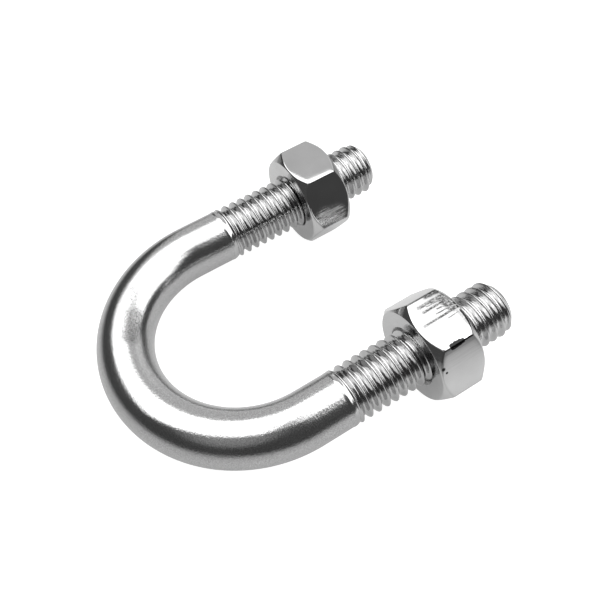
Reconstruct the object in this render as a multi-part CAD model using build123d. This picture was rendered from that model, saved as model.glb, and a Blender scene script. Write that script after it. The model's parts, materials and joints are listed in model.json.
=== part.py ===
from build123d import *
import os
from math import cos, floor, pi, radians, tan

# A light U-bolt with one hex nut on each leg. The U lies in the XY plane, its legs point along +X,
# and the origin is the centre of the bend. Looking along +X with +Z up, the right leg is at -Y.

# ---- driving dimensions, mm ----
LEG_SPACING = 24.4  # between the two legs' centre lines
SHANK_D = 5.8  # plain round bar
THREAD_D = 5.94  # over the thread crests, M6
PITCH = 1.0
LEG_LENGTH = {"right": 22.7, "left": 23.1}  # from the bend's centre to the tip
THREAD_START = {"right": 3.5, "left": 4.1}  # where the plain bar ends
CREST_PHASE = {"right": 0.80, "left": 0.55}  # x of a crest on the leg's +Y side, less whole pitches
TIP_CHAMFER = 0.7

NUT_FLATS = 10.0
NUT_HEIGHT = 5.0
NUT_SEAT = {"right": 12.0, "left": 13.1}  # x of the bearing face at rest
NUT_TURN = {"right": 5.7, "left": 1.0}  # degrees from one flat facing straight up
NUT_FACE_D = 9.8  # the round bearing circle on each face
NUT_CHAMFER_ANGLE = 46.0  # degrees between the chamfer and the face
NUT_CORNER_R = 0.38  # rounding of the six long corners
NUT_MOUTH_D = 6.5  # countersink at each end of the bore

# ---- thread form ----
FLANK_SLOPE = 2 * tan(radians(30))  # how fast a 60 degree groove widens along the radius
PITCH_R = 2.675  # where groove and ridge are equally wide on the basic M6 form
FLANK_GAP = 0.04  # each thread's flanks stand this far off the basic form, along the radius
BOLT_ROOT_R = 2.42
NUT_CREST_R = 2.52
NUT_ROOT_R = 3.03
OVERRUN = 0.15  # a groove's cutter reaches this far past the surface it cuts
RUNOUT = 1.2  # length over which the bolt's groove rises out of the bar
LEAD_IN = 1  # whole turns that a cutter starts before the thread does
LEAD_OUT = 3  # whole turns that a cutter runs past the thread's end
CLEAR_OF_CORNERS = 1.0  # the nut's turned envelope reaches this far past its corners
CREST_RISE = 0.5  # length over which the bar widens to the crests

BEND_R = LEG_SPACING / 2
SIDE_Y = {"right": -BEND_R, "left": BEND_R}


def leg_plane(side):
    """A plane across one leg, with its normal along the leg and its X direction along +Y."""
    return Plane(origin=(0, SIDE_Y[side], 0), x_dir=(0, 1, 0), z_dir=(1, 0, 0))


def turned(outline):
    """A solid turned about the Z axis from (radius, height) points."""
    face = make_face(Plane.XZ * Polyline(*outline, close=True))
    return revolve(face, Axis.Z)


def helical_cutter(first_z, turns, inner_r, inner_width, outer_r, outer_width):
    """A right-hand helical ridge whose centre starts at first_z on the X axis."""
    section = Polyline(
        (inner_r, first_z - inner_width / 2),
        (outer_r, first_z - outer_width / 2),
        (outer_r, first_z + outer_width / 2),
        (inner_r, first_z + inner_width / 2),
        close=True,
    )
    one_turn = [Helix(PITCH, PITCH, PITCH_R, center=(0, 0, first_z + i * PITCH)) for i in range(turns)]
    path = Wire([helix.edge() for helix in one_turn])
    return sweep(make_face(Plane.XZ * section), path, is_frenet=True)


def bolt_groove(side):
    """The thread groove of one leg, rising out of the bar at its inner end."""
    start, length = THREAD_START[side], LEG_LENGTH[side]

    def width(r):
        return PITCH / 2 + FLANK_SLOPE * (r - PITCH_R + FLANK_GAP)

    outer_r = THREAD_D / 2 + OVERRUN / 2
    rise = (THREAD_D / 2 - BOLT_ROOT_R) / RUNOUT
    first_z = CREST_PHASE[side] + PITCH * (floor(start / PITCH) - LEAD_IN + 0.5)
    turns = int((length - first_z) / PITCH) + LEAD_OUT
    cutter = helical_cutter(first_z, turns, BOLT_ROOT_R, width(BOLT_ROOT_R), outer_r, width(outer_r))
    uncut = turned(
        [
            (0, start - THREAD_D),
            (THREAD_D, start - THREAD_D),
            (THREAD_D, start - (THREAD_D / 2) / rise),
            (0, start + (THREAD_D / 2) / rise),
        ]
    )
    return cutter - uncut


def leg(side):
    """One straight leg: plain bar, then the threaded end with a chamfered tip."""
    start, length = THREAD_START[side], LEG_LENGTH[side]
    blank = turned(
        [
            (0, 0),
            (SHANK_D / 2, 0),
            (SHANK_D / 2, start - CREST_RISE / 2),
            (THREAD_D / 2, start + CREST_RISE / 2),
            (THREAD_D / 2, length - TIP_CHAMFER),
            (THREAD_D / 2 - TIP_CHAMFER, length),
            (0, length),
        ]
    )
    return leg_plane(side) * (blank - bolt_groove(side))


def u_bolt():
    """The bent bar with its two threaded legs, one piece."""
    section = Plane(origin=(0, -BEND_R, 0), z_dir=(1, 0, 0)) * Circle(SHANK_D / 2)
    bend = revolve(section, Axis.Z, -180)
    return bend + leg("right") + leg("left")


def hex_blank(side):
    """The nut's outside, with the chamfer turned on both faces."""
    seat, top = NUT_SEAT[side], NUT_SEAT[side] + NUT_HEIGHT
    hexagon = Rot(0, 0, NUT_TURN[side]) * RegularPolygon(NUT_FLATS / 2, 6, major_radius=False)
    prism = extrude(Plane.XY.offset(seat) * hexagon, NUT_HEIGHT)
    prism = fillet(prism.edges().filter_by(Axis.Z), NUT_CORNER_R)
    corner_r = NUT_FLATS / 2 / cos(pi / 6) + CLEAR_OF_CORNERS
    drop = (corner_r - NUT_FACE_D / 2) * tan(radians(NUT_CHAMFER_ANGLE))
    envelope = turned(
        [
            (0, seat),
            (NUT_FACE_D / 2, seat),
            (corner_r, seat + drop),
            (corner_r, top - drop),
            (NUT_FACE_D / 2, top),
            (0, top),
        ]
    )
    return prism & envelope


def nut(side):
    """One hex nut in place on its leg, its thread in step with the leg's."""
    seat, top = NUT_SEAT[side], NUT_SEAT[side] + NUT_HEIGHT
    mouth_r = NUT_MOUTH_D / 2
    bore = turned(
        [
            (0, seat),
            (mouth_r, seat),
            (NUT_CREST_R, seat + mouth_r - NUT_CREST_R),
            (NUT_CREST_R, top - mouth_r + NUT_CREST_R),
            (mouth_r, top),
            (0, top),
        ]
    )

    def width(r):
        return PITCH / 2 - FLANK_SLOPE * (r - PITCH_R - FLANK_GAP)

    inner_r = NUT_CREST_R - OVERRUN
    first_z = CREST_PHASE[side] + PITCH * (floor(seat / PITCH) - LEAD_IN - 1)
    turns = int(NUT_HEIGHT / PITCH) + LEAD_OUT
    groove = helical_cutter(first_z, turns, inner_r, width(inner_r), NUT_ROOT_R, width(NUT_ROOT_R))
    return leg_plane(side) * (hex_blank(side) - bore - groove)


os.makedirs("parts", exist_ok=True)
export_step(u_bolt(), "parts/u_bolt.step")
for side in ("right", "left"):
    export_step(nut(side), f"parts/nut_{side}.step")
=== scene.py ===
import json
import math

import bmesh
import bpy
import numpy as np
from mathutils import Matrix, Quaternion, Vector


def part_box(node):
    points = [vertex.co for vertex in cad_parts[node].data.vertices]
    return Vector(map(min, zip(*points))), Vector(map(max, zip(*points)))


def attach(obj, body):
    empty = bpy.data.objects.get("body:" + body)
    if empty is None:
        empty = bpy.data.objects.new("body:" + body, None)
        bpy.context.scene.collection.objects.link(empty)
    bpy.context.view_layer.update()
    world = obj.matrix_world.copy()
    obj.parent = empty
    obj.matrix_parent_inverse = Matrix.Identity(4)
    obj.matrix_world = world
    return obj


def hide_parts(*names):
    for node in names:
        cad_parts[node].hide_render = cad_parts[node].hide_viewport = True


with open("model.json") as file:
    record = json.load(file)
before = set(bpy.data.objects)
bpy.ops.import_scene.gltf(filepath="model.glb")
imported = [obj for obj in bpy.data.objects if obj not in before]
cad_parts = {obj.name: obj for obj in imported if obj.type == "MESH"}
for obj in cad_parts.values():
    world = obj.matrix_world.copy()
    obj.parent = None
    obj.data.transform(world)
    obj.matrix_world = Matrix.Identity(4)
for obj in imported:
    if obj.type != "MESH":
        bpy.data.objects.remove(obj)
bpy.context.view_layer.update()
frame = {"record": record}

# A bright steel U-bolt lying on a pale table, with a hex nut on each leg. Shapes are worked out in
# millimetres and turned into metres when a mesh is made. The legs point along +X, and looking along
# +X the right leg is at -Y.

MM = 0.001
WELD = 0.0005  # millimetres: points closer than this are one point

# ---- sizes from the frame ----
mounts = {m["name"]: m for m in frame["record"]["mounts"]}
BEND_R = mounts["legs"]["dims"]["pcd_mm"] / 2
SHANK_R = mounts["legs"]["dims"]["stud_r_mm"]
LEFT_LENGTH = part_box("u_bolt")[1].x / MM
RIGHT_SHORTFALL = 0.4  # the right leg ends this much before the left one
LEG_LENGTH = {"right": LEFT_LENGTH - RIGHT_SHORTFALL, "left": LEFT_LENGTH}
SIDE = {"right": -1, "left": 1}

# ---- thread ----
PITCH = 1.0
CREST_R = 2.98
ROOT_R = 2.42
CREST_HALF_WIDTH = 0.0566  # of the sharp-edged ridge, at the crest
FLANK_SLOPE = math.tan(math.radians(60))
THREAD_START = {"right": 3.5, "left": 4.1}
CREST_PHASE = {"right": 0.80, "left": 0.55}  # x of a crest on the leg's +Y side, less whole pitches
CREST_RISE = 0.5  # length over which the bar widens to the crests
RUNOUT_RISE = 0.06  # where the thread starts, its grooves' floor stands this far above the crests
RUNOUT_SLOPE = 0.46  # how fast that floor then goes down to the root, along the leg
TIP_CHAMFER = 0.7  # at 45 degrees
ROOT_FILLET, RUNOUT_FILLET, CREST_FILLET, TIP_FILLET = 0.24, 0.08, 0.17, 0.16
NUT_MINOR_R, NUT_MAJOR_R, NUT_MOUTH_R = 2.52, 3.03, 3.25
NUT_ROOT_HALF_WIDTH = 0.03  # of the nut's sharp-edged groove, at its bottom
NUT_ROOT_FILLET, NUT_CREST_FILLET, CONE_FILLET = 0.08, 0.1, 0.08

# ---- nuts ----
APOTHEM = 5.0
NUT_TURN = {"right": 5.7, "left": 1.0}  # degrees from one flat facing straight up
FACE_R = 4.90
CHAMFER_ANGLE = 46.0
CORNER_ROUND = {"right": 0.38, "left": 0.19}  # the right nut's corners are the more worn
EDGE_ROUND = 0.42
CROWN = 0.035  # how far a flat falls away towards its corners
FACE_EDGE_ROUND = 0.07
MOUTH_ROUND = 0.06


def smooth_min(a, b, k):
    """The smaller of two surfaces, with a fillet about k deep where they cross."""
    h = np.maximum(k - np.abs(a - b), 0) / k
    return np.minimum(a, b) - h * h * k / 4


def smooth_max(a, b, k):
    """The larger of two surfaces, with a fillet about k deep where they cross."""
    return -smooth_min(-a, -b, k)


def ridge_distance(x, theta, phase):
    """How far along x the nearest thread crest lies, at angle theta round the leg from +Y."""
    turns = (x - phase) / PITCH - theta / (2 * math.pi)
    return np.abs(turns - np.round(turns)) * PITCH


# ---- mesh helpers ----
def ring_mesh(rings, closed_along=False):
    """A mesh through rings of points, (rings, points, 3) in millimetres, closed round each ring."""
    count, around = rings.shape[:2]
    last = count if closed_along else count - 1
    i = np.arange(last)[:, None]
    j = np.arange(around)[None, :]
    i2, j2 = (i + 1) % count, (j + 1) % around
    quads = np.stack([i * around + j, i2 * around + j, i2 * around + j2, i * around + j2], -1)
    return rings.reshape(-1, 3), quads.reshape(-1, 4)


def make_object(name, points, faces, face_slots, materials, body, node):
    """A smooth-shaded piece in metres that rides on a body and stands for a CAD node."""
    mesh = bpy.data.meshes.new(name)
    mesh.from_pydata((np.asarray(points) * MM).tolist(), [], [list(map(int, f)) for f in faces])
    for material in materials:
        mesh.materials.append(material)
    mesh.polygons.foreach_set("material_index", np.asarray(face_slots, np.int32))
    mesh.polygons.foreach_set("use_smooth", np.ones(len(faces), bool))
    mesh.validate()
    mesh.update()
    piece = bpy.data.objects.new(name, mesh)
    bpy.context.scene.collection.objects.link(piece)
    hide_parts(node)
    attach(piece, body)
    return piece


def weld(piece):
    """Join the points of neighbouring parts of one skin where they meet."""
    work = bmesh.new()
    work.from_mesh(piece.data)
    bmesh.ops.remove_doubles(work, verts=work.verts, dist=WELD * MM)
    work.to_mesh(piece.data)
    work.free()


# ---- the bent bar ----
AROUND = 88  # points round the bar
BEND_RINGS = 121
PLAIN_RINGS = 9  # along the plain part of a leg
END_RINGS = (0.985, 0.9, 0.6, 0.25)  # on a leg's flat end, as shares of its radius
LINE_CLEARANCE = 0.012  # thread lines stop this far from the last rings, in pitches
# where the lines that follow a thread ridge lie on each side of its crest, in pitches
RIDGE_LINES = (0.018, 0.038, 0.065, 0.10, 0.14, 0.20, 0.27, 0.33, 0.375, 0.42, 0.465)
SEAM_DEPTH, SEAM_HALF_WIDTH = 0.035, 0.036  # the fine closed fold along a rolled crest
SEAM_CLOSED, SEAM_FADE = 1.5, 4.0  # how far from the tip it ends, and over what length it fades


def leg_radius(side, x, theta):
    """The bar's radius at x along one leg and angle theta round it, thread and chamfer included."""
    start, length = THREAD_START[side], LEG_LENGTH[side]
    rise = np.clip((x - start) / CREST_RISE + 0.5, 0, 1)
    crest = SHANK_R + (CREST_R - SHANK_R) * rise * rise * (3 - 2 * rise)
    away = ridge_distance(x, theta, CREST_PHASE[side])
    closed = np.clip((length - x - SEAM_CLOSED) / SEAM_FADE, 0, 1)
    seam = SEAM_DEPTH * np.clip(1 - away / SEAM_HALF_WIDTH, 0, 1) * rise * closed
    flank = CREST_R + (CREST_HALF_WIDTH - away) * FLANK_SLOPE
    root = smooth_max(flank, np.full_like(flank, ROOT_R), ROOT_FILLET)
    runout = CREST_R + RUNOUT_RISE - (x - start) * RUNOUT_SLOPE
    radius = smooth_min(crest, smooth_max(root, runout, RUNOUT_FILLET), CREST_FILLET) - seam
    chamfer = CREST_R - TIP_CHAMFER + (length - x)
    return smooth_min(radius, chamfer, TIP_FILLET)


def leg_points(side, x, theta, radius):
    """Points on a leg from distance along it, angle from +Y and radius."""
    return np.stack([x, SIDE[side] * BEND_R + radius * np.cos(theta), radius * np.sin(theta)], -1)


def leg_skin(side):
    """One leg's points and faces from the bend to the tip, its thread on lines that follow the ridges."""
    start, length = THREAD_START[side], LEG_LENGTH[side]
    theta = np.arange(AROUND) * 2 * math.pi / AROUND
    inner, outer = start - CREST_RISE, length
    points, faces = [], []

    def add_ring(x, radius):
        ring = leg_points(side, np.full(AROUND, x), theta, radius)
        points.extend(ring)
        return np.arange(len(points) - AROUND, len(points))

    def join(ring, following):
        for j in range(AROUND):
            k = (j + 1) % AROUND
            faces.append((ring[j], following[j], following[k], ring[k]))

    ring = add_ring(0.0, np.full(AROUND, SHANK_R))
    for x in np.linspace(0, inner, PLAIN_RINGS)[1:]:
        following = add_ring(x, np.full(AROUND, SHANK_R))
        join(ring, following)
        ring = following
    last = add_ring(outer, leg_radius(side, outer, theta))

    # the threaded part: line number q lies at the same place on the ridge all the way round
    lines = sorted([0.0, *RIDGE_LINES] + [-u for u in RIDGE_LINES])
    per_turn = len(lines)
    turns = np.arange(math.floor(inner / PITCH) - 2, math.ceil(outer / PITCH) + 2)
    number = np.arange(turns[0] * per_turn, (turns[-1] + 1) * per_turn)
    along = CREST_PHASE[side] + PITCH * (np.repeat(turns, per_turn) + np.tile(lines, len(turns)))
    clear = PITCH * LINE_CLEARANCE
    columns = []
    for j in range(AROUND):
        x = along + PITCH * j / AROUND
        kept = (x > inner + clear) & (x < outer - clear)
        first = len(points)
        points.extend(leg_points(side, x[kept], theta[j], leg_radius(side, x[kept], theta[j])))
        inside = np.arange(first, len(points)).tolist()
        columns.append(([-math.inf] + number[kept].tolist() + [math.inf], [ring[j]] + inside + [last[j]]))
    for j in range(AROUND):
        keys, ids = columns[j]
        next_keys, next_ids = columns[(j + 1) % AROUND]
        if j == AROUND - 1:
            next_keys = [key - per_turn for key in next_keys]
        i = k = 0
        while i < len(keys) - 1 or k < len(next_keys) - 1:
            left = keys[i + 1] if i < len(keys) - 1 else math.inf
            right = next_keys[k + 1] if k < len(next_keys) - 1 else math.inf
            if left == right:
                faces.append((ids[i], ids[i + 1], next_ids[k + 1], next_ids[k]))
                i, k = i + 1, k + 1
            elif left < right:
                faces.append((ids[i], ids[i + 1], next_ids[k]))
                i += 1
            else:
                faces.append((ids[i], next_ids[k + 1], next_ids[k]))
                k += 1

    # the flat end face
    end = leg_radius(side, outer, theta)
    ring = last
    for share in END_RINGS:
        following = add_ring(outer, end * share)
        join(ring, following)
        ring = following
    points.append(leg_points(side, outer, 0.0, 0.0))
    for j in range(AROUND):
        faces.append((ring[j], len(points) - 1, ring[(j + 1) % AROUND]))
    return np.array(points), faces


def bent_bar(materials):
    """The whole bar: the bend with a threaded leg on each end."""
    psi = np.arange(AROUND) * 2 * math.pi / AROUND
    bend = np.linspace(-90, -270, BEND_RINGS) * math.pi / 180
    radial = np.stack([np.cos(bend), np.sin(bend), 0 * bend], -1)
    across = (BEND_R + SHANK_R * np.cos(psi))[None, :, None] * radial[:, None, :]
    up = (SHANK_R * np.sin(psi))[None, :, None] * np.array([0, 0, 1.0])
    points, faces = ring_mesh(across + up)
    points, faces = [points], faces.tolist()
    for side in ("right", "left"):
        more, skin = leg_skin(side)
        offset = sum(len(p) for p in points)
        points.append(more)
        faces.extend([tuple(i + offset for i in face) for face in skin])
    points = np.concatenate(points)
    # the thread's finish starts where the thread does
    centre = np.array([points[list(face)].mean(0) for face in faces])
    start = np.where(centre[:, 1] < 0, THREAD_START["right"], THREAD_START["left"])
    slots = (centre[:, 0] > start).astype(int)
    bar = make_object("bent_bar", points, faces, slots, materials, "u_bolt", "u_bolt")
    weld(bar)
    return bar


# ---- a hex nut ----
FLAT_STEPS = 10
CORNER_STEPS = 8
BORE_STEPS_PER_PITCH = 18
MOST_OF_A_SIDE = 0.45  # a rounding takes at most this share of the side next to it
# the section's corners from one mouth to the other, by number: how round, and in how many points
SECTION_ROUNDS = {
    1: MOUTH_ROUND, 2: FACE_EDGE_ROUND, 3: EDGE_ROUND, 4: EDGE_ROUND, 5: FACE_EDGE_ROUND, 6: MOUTH_ROUND,
}
SECTION_STEPS = {1: 5, 2: 5, 3: 7, 4: 7, 5: 5, 6: 5}
SECTION_SPREAD = {1: 5, 2: 3, 3: 9, 4: 3, 5: 5}  # points between a corner and the next one


def hex_angles(rounding):
    """Angles round the nut from a flat's middle, closer together over the rounded corners."""
    half = math.pi / 6
    centre = (APOTHEM - rounding) / math.cos(half)
    tangent = math.atan2(rounding * math.sin(half), centre + rounding * math.cos(half))
    flat = np.linspace(-(half - tangent), half - tangent, FLAT_STEPS, endpoint=False)
    corner = np.linspace(half - tangent, half + tangent, CORNER_STEPS, endpoint=False)
    one = np.concatenate([flat, corner])
    return np.concatenate([one + k * math.pi / 3 for k in range(6)])


def hex_radius(angle, rounding):
    """Distance from the axis to the rounded hexagon at an angle from a flat's middle."""
    half = math.pi / 6
    from_flat = (angle + half) % (2 * half) - half
    from_corner = half - np.abs(from_flat)
    centre = (APOTHEM - rounding) / math.cos(half)
    inside = np.maximum(rounding**2 - (centre * np.sin(from_corner)) ** 2, 0)
    arc = centre * np.cos(from_corner) + np.sqrt(inside)
    tangent = math.atan2(rounding * math.sin(half), centre + rounding * math.cos(half))
    plain = np.where(from_corner < tangent, arc, APOTHEM / np.cos(from_flat))
    return plain - CROWN * (from_flat / half) ** 2


def fillet(corner, before, after, radius, steps):
    """Points of an arc that rounds a corner between two neighbours of a flat outline."""
    a, b = before - corner, after - corner
    la, lb = np.linalg.norm(a), np.linalg.norm(b)
    a, b = a / la, b / lb
    half = math.acos(np.clip(a @ b, -1, 1)) / 2
    reach = min(radius / math.tan(half), MOST_OF_A_SIDE * la, MOST_OF_A_SIDE * lb)
    radius = reach * math.tan(half)
    middle = corner + (a + b) / np.linalg.norm(a + b) * radius / math.sin(half)
    start, end = corner + a * reach - middle, corner + b * reach - middle
    t = np.linspace(0, 1, steps)
    turn = math.pi - 2 * half
    arc = (np.sin((1 - t) * turn)[:, None] * start + np.sin(t * turn)[:, None] * end) / math.sin(turn)
    return middle + arc


def nut_outline(hex_r, height):
    """One half-section of the nut's outside, mouth to mouth, as (x, r) and the corner each is at."""
    drop = (hex_r - FACE_R) * math.tan(math.radians(CHAMFER_ANGLE))
    mouth = (0.0, NUT_MOUTH_R)
    inner_mouth = (NUT_MOUTH_R - NUT_MINOR_R, NUT_MINOR_R)
    face = (0.0, FACE_R)
    edge = (drop, hex_r)
    half = [np.array(p) for p in (inner_mouth, mouth, face, edge)]
    other = [np.array([height - p[0], p[1]]) for p in half[::-1]]
    outline = half + other
    points, kinds = [], []
    for i, steps in SECTION_STEPS.items():
        arc = fillet(outline[i], outline[i - 1], outline[i + 1], SECTION_ROUNDS[i], steps)
        points.extend(arc)
        kinds.extend([i] * steps)
        if i in SECTION_SPREAD:
            spread = SECTION_SPREAD[i]
            nxt = fillet(outline[i + 1], outline[i], outline[i + 2], SECTION_ROUNDS[i + 1], 2)[0]
            for t in np.arange(1, spread + 1) / (spread + 1):
                points.append(arc[-1] * (1 - t) + nxt * t)
                kinds.append(i + 0.5)
    return np.array(points), np.array(kinds)


def bore_outline(side, angle_from_y, height, seat, mouth_r):
    """The nut's threaded bore from the outer mouth back to the inner one, as (x, r)."""
    steps = int(height * BORE_STEPS_PER_PITCH)
    x = np.linspace(height, 0, steps + 2)[1:-1]
    away = ridge_distance(x + seat, angle_from_y, CREST_PHASE[side])
    flank = NUT_MAJOR_R + (NUT_ROOT_HALF_WIDTH - away) * FLANK_SLOPE
    groove = smooth_min(flank, np.full_like(flank, NUT_MAJOR_R), NUT_ROOT_FILLET)
    thread = smooth_max(groove, np.full_like(flank, NUT_MINOR_R), NUT_CREST_FILLET)
    cone = mouth_r - np.minimum(x, height - x)
    return np.stack([x, smooth_max(thread, cone, CONE_FILLET)], -1)


def hex_nut(side, materials):
    """One nut on its leg: flats, chamfers, bearing faces and threaded bore in one closed skin."""
    node = f"nut_{side}"
    low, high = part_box(node)
    seat, height = low.x / MM, (high.x - low.x) / MM
    centre_y = SIDE[side] * BEND_R
    columns = []
    for angle in hex_angles(CORNER_ROUND[side]):
        from_y = math.radians(90 + NUT_TURN[side]) + angle
        outside, kinds = nut_outline(float(hex_radius(angle, CORNER_ROUND[side])), height)
        mouth_r = outside[0][1] + outside[0][0]
        bore = bore_outline(side, from_y, height, seat, mouth_r)
        section = np.concatenate([outside, bore])
        x, r = section[:, 0] + seat, section[:, 1]
        columns.append(np.stack([x, centre_y + r * math.cos(from_y), r * math.sin(from_y)], -1))
    rings = np.array(columns).transpose(1, 0, 2)[::-1]
    points, faces = ring_mesh(rings, closed_along=True)
    around, count = rings.shape[1], rings.shape[0]
    outside_count = len(kinds)
    # which stretch of the section each band of faces belongs to: 0 flats, 1 turned faces, 2 bore
    stretch = np.full(count, 2)
    for k in range(outside_count - 1):
        middle = (kinds[k] + kinds[k + 1]) / 2
        stretch[k] = 0 if 3.0 <= middle <= 4.0 else 1
    # rings run backwards, so band i joins section points count-1-i and count-2-i
    band = np.arange(count)
    first = (count - 2 - band) % count
    slots = np.repeat(stretch[first], around)
    return make_object(f"hex_nut_{side}", points, faces, slots, materials, node, node)


# ---- materials ----
NOISE_SPAN = (0.3, 0.7)  # most of a noise's values lie in here
# marks on the surfaces, in millimetres: the ends of each one, its radius and its strength
PITS = (
    ((12.33, -16.37, 2.98), (12.33, -16.37, 2.98), 0.25, 1.0),
    ((12.58, -16.57, 2.46), (12.58, -16.57, 2.46), 0.17, 1.0),
)
SCUFF = (
    ((-8.9, 6.3, 2.55), (-10.4, 3.9, 2.70), 1.30, 1.0),
    ((-7.6, 8.8, 2.80), (-8.8, 6.8, 2.60), 0.80, 0.45),
)
# dark lines on the right nut's top flat: partly real scoring, partly a painted reflection of a dark part
# of the room
SCORES_AND_PAINTED_REFLECTION = (
    ((13.6, -10.70, 5.17), (16.2, -10.70, 5.17), 0.34, 0.70),
    ((15.0, -10.75, 5.17), (16.3, -10.70, 5.17), 0.36, 0.90),
    ((13.9, -10.78, 5.17), (16.2, -10.74, 5.17), 0.16, 0.92),
    ((13.7, -11.32, 5.11), (15.9, -11.32, 5.11), 0.28, 0.65),
    ((13.8, -11.34, 5.11), (15.9, -11.32, 5.11), 0.16, 0.97),
    ((12.9, -12.56, 4.99), (16.6, -12.50, 4.99), 0.26, 0.60),
    ((13.2, -12.56, 4.99), (16.6, -12.50, 4.99), 0.13, 0.94),
    ((14.8, -12.54, 4.99), (16.6, -12.50, 4.99), 0.18, 1.00),
    ((14.3, -10.98, 5.14), (15.9, -11.04, 5.14), 0.11, 0.78),
    ((15.0, -11.68, 5.07), (16.4, -11.78, 5.06), 0.16, 0.82),
    ((14.6, -12.08, 5.03), (16.5, -12.14, 5.02), 0.13, 0.86),
    ((15.3, -13.02, 4.94), (16.6, -12.96, 4.94), 0.12, 0.72),
    ((16.0, -11.0, 5.14), (16.3, -12.2, 5.03), 0.85, 0.93),
    ((16.6, -12.6, 4.98), (16.6, -14.4, 4.81), 0.45, 0.55),
)
BURRS = (
    ((13.85, -15.62, 4.68), (14.55, -15.60, 4.69), 0.46, 1.0),
    ((14.55, -15.62, 4.69), (15.0, -15.62, 4.69), 0.32, 1.0),
    ((14.95, -15.64, 4.69), (16.45, -15.64, 4.68), 0.19, 1.0),
    ((13.2, -15.66, 4.68), (13.9, -15.66, 4.68), 0.14, 1.0),
    ((16.74, -11.6, 5.08), (16.78, -12.5, 5.00), 0.09, 0.8),
    ((16.78, -12.5, 5.00), (16.73, -13.74, 4.87), 0.10, 0.85),
    ((16.73, -13.74, 4.87), (16.42, -15.42, 4.70), 0.12, 0.9),
)
ROUGH_CORNER = (
    ((13.0, -9.72, 5.27), (16.2, -9.95, 5.25), 0.24, 0.85),
    ((14.9, -9.98, 5.25), (16.2, -10.10, 5.24), 0.46, 0.90),
)
PAINTED_TIP_HIGHLIGHT = (0.016, 0.019)  # in metres along the legs, where the thread's grey is painted paler towards the tip, a painted highlight
SMUDGE = (((14.6, 7.1, 1.1), (16.2, 6.9, 0.8), 1.5, 1.0),)


def node_tools(tree):
    """A node adder, which sets inputs and properties by name, and a linker for one node tree."""

    def add(kind, **values):
        node = tree.nodes.new(kind)
        for key, value in values.items():
            if key in node.inputs:
                node.inputs[key].default_value = value
            else:
                setattr(node, key, value)
        return node

    return add, tree.links.new


def new_material(name, metallic=1.0):
    """A material, a bare metal unless told otherwise, as (material, node adder, linker, shader)."""
    material = bpy.data.materials.new(name)
    material.use_nodes = True
    shader = material.node_tree.nodes["Principled BSDF"]
    shader.inputs["Metallic"].default_value = metallic
    return material, *node_tools(material.node_tree), shader


def stretched_noise(add, link, coords, stretch, scale, detail=3.0, rough=0.55):
    """Noise over object space, drawn out along the axes where stretch is small."""
    mapping = add("ShaderNodeMapping")
    mapping.inputs["Scale"].default_value = stretch
    noise = add("ShaderNodeTexNoise", Scale=scale, Detail=detail, Roughness=rough)
    link(coords.outputs["Object"], mapping.inputs["Vector"])
    link(mapping.outputs["Vector"], noise.inputs["Vector"])
    return noise.outputs["Fac"]


def ranged(add, link, value, low, high, out_low, out_high, ends="LINEAR"):
    """A value mapped from one range to another, clamped, with soft ends if they are SMOOTHSTEP."""
    node = add("ShaderNodeMapRange", interpolation_type=ends)
    for key, number in (("From Min", low), ("From Max", high), ("To Min", out_low), ("To Max", out_high)):
        node.inputs[key].default_value = number
    link(value, node.inputs["Value"])
    return node.outputs["Result"]


def combine(add, link, operation, a, b):
    """One step of arithmetic on two values, either of which may be a plain number."""
    node = add("ShaderNodeMath", operation=operation)
    for socket, value in zip(node.inputs, (a, b)):
        if isinstance(value, (int, float)):
            socket.default_value = value
        else:
            link(value, socket)
    return node.outputs[0]


def bump(add, link, height, distance, strength, below=None):
    """Bump of a real depth in metres, on top of another bump."""
    node = add("ShaderNodeBump", Strength=strength, Distance=distance)
    link(height, node.inputs["Height"])
    if below is not None:
        link(below, node.inputs["Normal"])
    return node.outputs["Normal"]


def grey_ramp(add, link, value, dark, light):
    """A colour that wanders between two greys."""
    ramp = add("ShaderNodeValToRGB")
    ramp.color_ramp.elements[0].position, ramp.color_ramp.elements[1].position = NOISE_SPAN
    ramp.color_ramp.elements[0].color = (dark, dark, dark, 1)
    ramp.color_ramp.elements[1].color = (light, light, light, 1)
    link(value, ramp.inputs["Fac"])
    return ramp.outputs["Color"]


def streak_mask(add, link, coords, start, end, radius, core):
    """1 along a line on the object, given in millimetres, falling to 0 at a radius from it."""
    first, along = Vector(start) * MM, (Vector(end) - Vector(start)) * MM
    offset = add("ShaderNodeVectorMath", operation="SUBTRACT")
    link(coords.outputs["Object"], offset.inputs[0])
    offset.inputs[1].default_value = first
    share = add("ShaderNodeVectorMath", operation="DOT_PRODUCT")
    link(offset.outputs["Vector"], share.inputs[0])
    share.inputs[1].default_value = along / max(along.length_squared, 1e-12)
    nearest = add("ShaderNodeVectorMath", operation="SCALE")
    nearest.inputs[0].default_value = along
    link(ranged(add, link, share.outputs["Value"], 0, 1, 0, 1), nearest.inputs["Scale"])
    away = add("ShaderNodeVectorMath", operation="DISTANCE")
    link(offset.outputs["Vector"], away.inputs[0])
    link(nearest.outputs["Vector"], away.inputs[1])
    inner, outer = radius * core * MM, radius * MM
    return ranged(add, link, away.outputs["Value"], inner, outer, 1.0, 0.0, "SMOOTHSTEP")


def marks_mask(add, link, coords, marks, core=0.3):
    """The strongest of several marks at each place."""
    total = None
    for start, end, radius, strength in marks:
        streak = streak_mask(add, link, coords, start, end, radius, core)
        mask = combine(add, link, "MULTIPLY", streak, strength)
        total = mask if total is None else combine(add, link, "MAXIMUM", total, mask)
    return total


def breaking_up(add, link, mask, noise, level, width, fade=0.3):
    """1 where noise passes a level that rises as the mask fades, so that marks thin out at its edge."""
    outside = combine(add, link, "SUBTRACT", 1.0, mask)
    weakened = combine(add, link, "SUBTRACT", noise, combine(add, link, "MULTIPLY", outside, fade))
    marks = ranged(add, link, weakened, level, level + width, 0.0, 1.0)
    return combine(add, link, "MULTIPLY", marks, ranged(add, link, mask, 0.0, 0.15, 0.0, 1.0))


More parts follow.
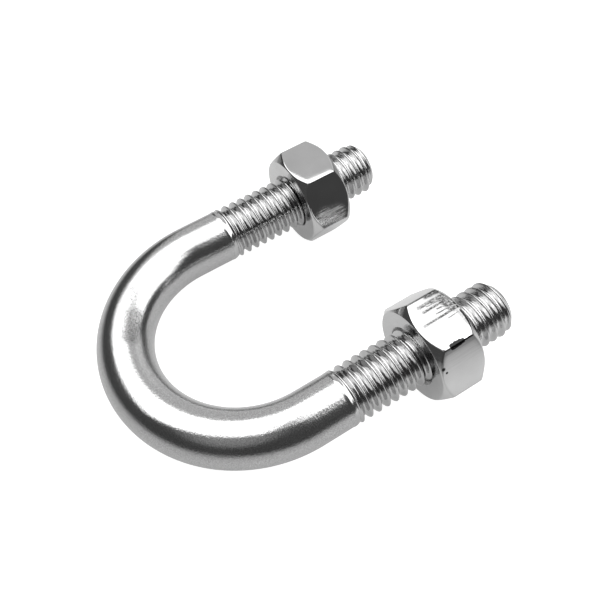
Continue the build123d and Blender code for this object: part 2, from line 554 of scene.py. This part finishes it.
def toned(add, link, colour, mask, grey):
    """A colour taken towards a grey where the mask is 1."""
    mix = add("ShaderNodeMix", data_type="RGBA")
    mix.inputs["B"].default_value = (grey, grey, grey, 1)
    link(mask, mix.inputs["Factor"])
    link(colour, mix.inputs["A"])
    return mix.outputs["Result"]


def polished_bar_material():
    """Bright drawn bar, polished but finely grained, with a dull patch inside the bend."""
    material, add, link, shader = new_material("bright_bar")
    coords = add("ShaderNodeTexCoord")
    broad = stretched_noise(add, link, coords, (1, 1, 1), 260)
    grain = stretched_noise(add, link, coords, (1, 1, 1), 4600, detail=2.0, rough=0.6)
    specks = stretched_noise(add, link, coords, (1, 1, 1), 9000, detail=1.0)
    scuffed = marks_mask(add, link, coords, SCUFF, core=0.2)
    stipple = breaking_up(add, link, scuffed, specks, 0.45, 0.12, fade=0.16)
    colour = grey_ramp(add, link, specks, 0.36, 0.52)
    colour = toned(add, link, colour, combine(add, link, "MULTIPLY", scuffed, 0.72), 0.25)
    link(toned(add, link, colour, stipple, 0.14), shader.inputs["Base Color"])
    base = ranged(add, link, broad, *NOISE_SPAN, 0.16, 0.20)
    duller = combine(add, link, "MULTIPLY", scuffed, 0.10)
    link(combine(add, link, "ADD", base, duller), shader.inputs["Roughness"])
    wander = stretched_noise(add, link, coords, (1, 1, 1), 500, detail=1)
    normal = bump(add, link, wander, 0.00002, 0.22)
    link(bump(add, link, grain, 0.000012, 1.0, normal), shader.inputs["Normal"])
    return material


def thread_material():
    """Rolled thread: bright, with fine lines that follow the ridges, and a painted highlight that
    lightens its grey towards the tips.
    """
    material, add, link, shader = new_material("rolled_thread")
    coords = add("ShaderNodeTexCoord")
    broad = stretched_noise(add, link, coords, (1, 1, 1), 400)
    lines = stretched_noise(add, link, coords, (1, 0.06, 0.06), 5200, detail=1.5)
    dents = stretched_noise(add, link, coords, (1, 0.5, 0.5), 2200, detail=1.5)
    along = add("ShaderNodeSeparateXYZ")
    link(coords.outputs["Object"], along.inputs["Vector"])
    # painted highlight: the thread's grey is lifted towards each leg's tip
    painted_tip_highlight = ranged(add, link, along.outputs["X"], *PAINTED_TIP_HIGHLIGHT, 0.0, 1.0, "SMOOTHSTEP")
    colour = grey_ramp(add, link, broad, 0.42, 0.50)
    link(toned(add, link, colour, painted_tip_highlight, 0.51), shader.inputs["Base Color"])
    link(ranged(add, link, lines, *NOISE_SPAN, 0.09, 0.17), shader.inputs["Roughness"])
    normal = bump(add, link, dents, 0.00003, 0.5)
    link(bump(add, link, lines, 0.00002, 0.8, normal), shader.inputs["Normal"])
    return material


def nut_flat_material():
    """Cold-drawn hexagon bar: mirror bright, with faint drawing lines, a corner with score lines that are
    partly painted reflection, and a burr.
    """
    material, add, link, shader = new_material("drawn_nut_flat")
    coords = add("ShaderNodeTexCoord")
    broad = stretched_noise(add, link, coords, (1, 1, 1), 220)
    fine = stretched_noise(add, link, coords, (0.06, 1, 1), 5000, detail=3)
    wave = stretched_noise(add, link, coords, (0.5, 1, 1), 260, detail=1)
    lines = stretched_noise(add, link, coords, (0.08, 1, 1), 5200, detail=3, rough=0.6)
    crumbs = stretched_noise(add, link, coords, (0.5, 1, 1), 4200, detail=2)
    specks = stretched_noise(add, link, coords, (0.5, 1, 1), 9000, detail=1)
    torn = ranged(add, link, specks, 0.32, 0.56, 0.55, 1.0)
    # the score lines' near-black grey is partly wear and partly a painted reflection
    scores_and_painted_reflection = combine(add, link, "MULTIPLY", marks_mask(add, link, coords, SCORES_AND_PAINTED_REFLECTION + ROUGH_CORNER), torn)
    burred = breaking_up(add, link, marks_mask(add, link, coords, BURRS, core=0.7), crumbs, 0.30, 0.06)
    dull = marks_mask(add, link, coords, SMUDGE)
    colour = grey_ramp(add, link, broad, 0.445, 0.500)
    colour = toned(add, link, colour, combine(add, link, "MULTIPLY", dull, 0.7), 0.85)
    marks = combine(add, link, "MAXIMUM", scores_and_painted_reflection, burred)
    marks = combine(add, link, "MAXIMUM", marks, marks_mask(add, link, coords, PITS, core=0.5))
    link(toned(add, link, colour, marks, 0.02), shader.inputs["Base Color"])
    streaky = combine(add, link, "MULTIPLY", dull, ranged(add, link, lines, 0.35, 0.65, 0.06, 0.42))
    base = ranged(add, link, broad, *NOISE_SPAN, 0.045, 0.075)
    link(combine(add, link, "ADD", base, streaky), shader.inputs["Roughness"])
    normal = bump(add, link, wave, 0.00003, 0.5)
    normal = bump(add, link, lines, 0.000003, 0.6, normal)
    link(bump(add, link, fine, 0.000003, 0.5, normal), shader.inputs["Normal"])
    return material


def nut_turned_material():
    """The nut's turned chamfers and bearing faces, with two pin-head pits beside one corner."""
    material, add, link, shader = new_material("turned_nut_face")
    coords = add("ShaderNodeTexCoord")
    broad = stretched_noise(add, link, coords, (1, 1, 1), 300)
    fine = stretched_noise(add, link, coords, (1, 1, 1), 4000, detail=2)
    pitted = marks_mask(add, link, coords, PITS, core=0.5)
    colour = grey_ramp(add, link, broad, 0.49, 0.55)
    link(toned(add, link, colour, pitted, 0.03), shader.inputs["Base Color"])
    link(ranged(add, link, broad, *NOISE_SPAN, 0.11, 0.17), shader.inputs["Roughness"])
    link(bump(add, link, fine, 0.000006, 0.5), shader.inputs["Normal"])
    return material


def nut_bore_material():
    """The nut's cut inner thread, rougher and a darker grey than the outside."""
    material, add, link, shader = new_material("cut_nut_thread")
    coords = add("ShaderNodeTexCoord")
    lines = stretched_noise(add, link, coords, (1, 0.15, 0.15), 5000, detail=2)
    link(grey_ramp(add, link, lines, 0.34, 0.42), shader.inputs["Base Color"])
    link(ranged(add, link, lines, *NOISE_SPAN, 0.24, 0.34), shader.inputs["Roughness"])
    link(bump(add, link, lines, 0.00002, 0.4), shader.inputs["Normal"])
    return material


# ---- stage ----
PALE_WALL = (220, 55)  # the direction of the room's palest part, in degrees
PALE_WALL_SPREAD = (30, 4)  # it starts and is full this far from that direction, in degrees
ROOM_GLOW = (0.090, 0.40)  # away from the pale wall and at its middle
TABLE_GAP = 0.00011  # metres between the table and the plane through the three places it touches
TABLE_HALF_WIDTH = 3.0
TABLE_WHITE = 0.97  # the table's glow to the camera
TABLE_GREY, POOL_PALER, POOL_GLOW = 0.21, 0.17, 0.73  # its own grey, and what a full pool adds
# pools of light on the table, in metres from the bend's lowest point: each one's centre, how far it
# is at its full strength, how far off it has faded away, and that strength
POOLS = (
    ((0.0262, 0.0044, 0), 0.030, 0.075, 0.58),
    ((0.0370, -0.0380, 0), 0.006, 0.020, 0.34),
)


def table_material():
    """White to the camera, and to the metal pale pools of light that fade away from the object."""
    material, add, link, shader = new_material("pale_table", metallic=0.0)
    shader.inputs["Roughness"].default_value = 0.9
    shader.inputs["Specular IOR Level"].default_value = 0.0
    shader.inputs["Emission Color"].default_value = (1, 1, 1, 1)
    coords = add("ShaderNodeTexCoord")
    pools = []
    for centre, inner, outer, strength in POOLS:
        away = add("ShaderNodeVectorMath", operation="DISTANCE")
        away.inputs[1].default_value = centre
        link(coords.outputs["Object"], away.inputs[0])
        pools.append(ranged(add, link, away.outputs["Value"], inner, outer, strength, 0.0))
    pool = combine(add, link, "ADD", *pools)
    grey = combine(add, link, "ADD", combine(add, link, "MULTIPLY", pool, POOL_PALER), TABLE_GREY)
    link(grey, shader.inputs["Base Color"])
    glow = add("ShaderNodeMapRange")
    glow.inputs["To Max"].default_value = TABLE_WHITE
    link(add("ShaderNodeLightPath").outputs["Is Camera Ray"], glow.inputs["Value"])
    link(combine(add, link, "MULTIPLY", pool, POOL_GLOW), glow.inputs["To Min"])
    link(glow.outputs["Result"], shader.inputs["Emission Strength"])
    return material


def table():
    """A plain pale table that the nuts' lower corners and the underside of the bend rest on."""
    touch = []
    for side in ("right", "left"):
        low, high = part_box(f"nut_{side}")
        corner = math.radians(270 + NUT_TURN[side] - 30)  # the lowest, half a flat from straight down
        corner_r = float(hex_radius(math.pi / 6, CORNER_ROUND[side]))
        drop = (corner_r - FACE_R) * math.tan(math.radians(CHAMFER_ANGLE)) * MM
        across = SIDE[side] * BEND_R + corner_r * math.cos(corner)
        touch.append(Vector((low.x + drop, across * MM, corner_r * math.sin(corner) * MM)))
    touch.append(Vector((-BEND_R * MM, 0, -SHANK_R * MM)))
    normal = (touch[1] - touch[0]).cross(touch[2] - touch[0]).normalized()
    if normal.z < 0:
        normal = -normal
    mesh = bpy.data.meshes.new("table")
    far = TABLE_HALF_WIDTH
    corners = [(-far, -far, 0), (far, -far, 0), (far, far, 0), (-far, far, 0)]
    mesh.from_pydata(corners, [], [(0, 1, 2, 3)])
    floor = bpy.data.objects.new("table", mesh)
    floor.rotation_mode = "QUATERNION"
    floor.rotation_quaternion = Vector((0, 0, 1)).rotation_difference(normal)
    floor.location = touch[2] - normal * TABLE_GAP
    bpy.context.scene.collection.objects.link(floor)
    mesh.materials.append(table_material())


def feather(data, edge):
    """Fades a panel's light out over a share of its width at each border."""
    data.use_nodes = True
    add, link = node_tools(data.node_tree)
    place = add("ShaderNodeNewGeometry")
    from_centre = add("ShaderNodeVectorMath", operation="SUBTRACT")
    from_centre.inputs[1].default_value = (0.5, 0.5, 0)
    link(place.outputs["Parametric"], from_centre.inputs[0])
    size = add("ShaderNodeVectorMath", operation="ABSOLUTE")
    link(from_centre.outputs["Vector"], size.inputs[0])
    split = add("ShaderNodeSeparateXYZ")
    link(size.outputs["Vector"], split.inputs["Vector"])
    fades = [
        ranged(add, link, split.outputs[axis], 0.5 - edge, 0.5, 1.0, 0.0, "SMOOTHSTEP") for axis in "XY"
    ]
    kept = combine(add, link, "MULTIPLY", *fades)
    link(kept, data.node_tree.nodes["Emission"].inputs["Strength"])


def panel(name, place, facing, turn, width, height, radiance, edge):
    """A soft-edged rectangular light that the camera doesn't see, turned by degrees about its axis."""
    data = bpy.data.lights.new(name, "AREA")
    data.shape = "RECTANGLE"
    data.size, data.size_y = width, height
    data.energy = radiance * math.pi * width * height
    feather(data, edge)
    light = bpy.data.objects.new(name, data)
    light.location = place
    light.rotation_mode = "QUATERNION"
    spin = Quaternion((0, 0, 1), math.radians(turn))
    light.rotation_quaternion = facing.to_track_quat("Z", "Y") @ spin
    light.visible_camera = False
    bpy.context.scene.collection.objects.link(light)


def direction(azimuth, elevation):
    """A unit vector from angles in degrees."""
    a, e = math.radians(azimuth), math.radians(elevation)
    return Vector((math.cos(a) * math.cos(e), math.sin(a) * math.cos(e), math.sin(e)))


def softbox(name, azimuth, elevation, distance, width, height, radiance, edge):
    """A light panel facing the object from a direction."""
    back = direction(azimuth, elevation)
    panel(name, back * distance, back, 0, width, height, radiance, edge)


def room():
    """White to the camera, and a dim room to the metal and the table."""
    world = bpy.data.worlds.new("room")
    bpy.context.scene.world = world
    world.use_nodes = True
    world.node_tree.nodes.clear()
    add, link = node_tools(world.node_tree)
    coords = add("ShaderNodeTexCoord")
    towards = add("ShaderNodeVectorMath", operation="DOT_PRODUCT")
    towards.inputs[1].default_value = direction(*PALE_WALL)
    link(coords.outputs["Generated"], towards.inputs[0])
    spread = [math.cos(math.radians(angle)) for angle in PALE_WALL_SPREAD]
    glow = ranged(add, link, towards.outputs["Value"], *spread, *ROOM_GLOW, "SMOOTHSTEP")
    dim = add("ShaderNodeBackground", Color=(1, 1, 1, 1))
    link(glow, dim.inputs["Strength"])
    seen = add("ShaderNodeBackground", Color=(1, 1, 1, 1))
    mix = add("ShaderNodeMixShader")
    link(add("ShaderNodeLightPath").outputs["Is Camera Ray"], mix.inputs["Fac"])
    link(dim.outputs["Background"], mix.inputs[1])
    link(seen.outputs["Background"], mix.inputs[2])
    link(mix.outputs["Shader"], add("ShaderNodeOutputWorld").inputs["Surface"])


def camera():
    """A close, high three-quarter view from the open side's right, slightly rolled."""
    azimuth, elevation, roll = math.radians(-26.87), math.radians(54.5), math.radians(-6.44)
    target, distance = Vector((6.58, -0.23, 0)) * MM, 76.96 * MM
    focal_pixels, frame_pixels, sensor = 736.5, 600, 36.0
    forward = Vector((
        -math.sin(azimuth) * math.cos(elevation),
        math.cos(azimuth) * math.cos(elevation),
        -math.sin(elevation),
    ))
    right = forward.cross(Vector((0, 0, 1))).normalized()
    up = right.cross(forward)
    rolled_right = right * math.cos(roll) + up * math.sin(roll)
    rolled_up = up * math.cos(roll) - right * math.sin(roll)
    data = bpy.data.cameras.new("view")
    data.sensor_width = sensor
    data.lens = focal_pixels * sensor / frame_pixels
    data.clip_start = 0.001
    cam = bpy.data.objects.new("view", data)
    bpy.context.scene.collection.objects.link(cam)
    turn = Matrix((rolled_right, rolled_up, -forward)).transposed()
    cam.matrix_world = Matrix.Translation(target - forward * distance) @ turn.to_4x4()
    bpy.context.scene.camera = cam


camera()
room()
table()
# place, facing and turn, or azimuth, elevation and distance; then width, height, radiance, soft edge
panel("overhead", Vector((-0.128, 0.285, 0.6)), Vector((0, 0, 1)), 52, 0.796, 0.786, 3.0, 0.10)
softbox("bridge", 351, 68, 0.55, 0.55, 0.31, 3.0, 0.20)
softbox("right_side", 336, 40, 0.6, 0.68, 0.49, 2.8, 0.10)
softbox("back_reflector", 48, 24, 0.75, 1.08, 0.88, 0.75, 0.04)
softbox("back_strip", 26, 22, 0.72, 0.80, 0.32, 0.28, 0.35)
bpy.context.scene.view_settings.view_transform = "Standard"

bent_bar([polished_bar_material(), thread_material()])
nut_materials = [nut_flat_material(), nut_turned_material(), nut_bore_material()]
for side in ("right", "left"):
    hex_nut(side, nut_materials)
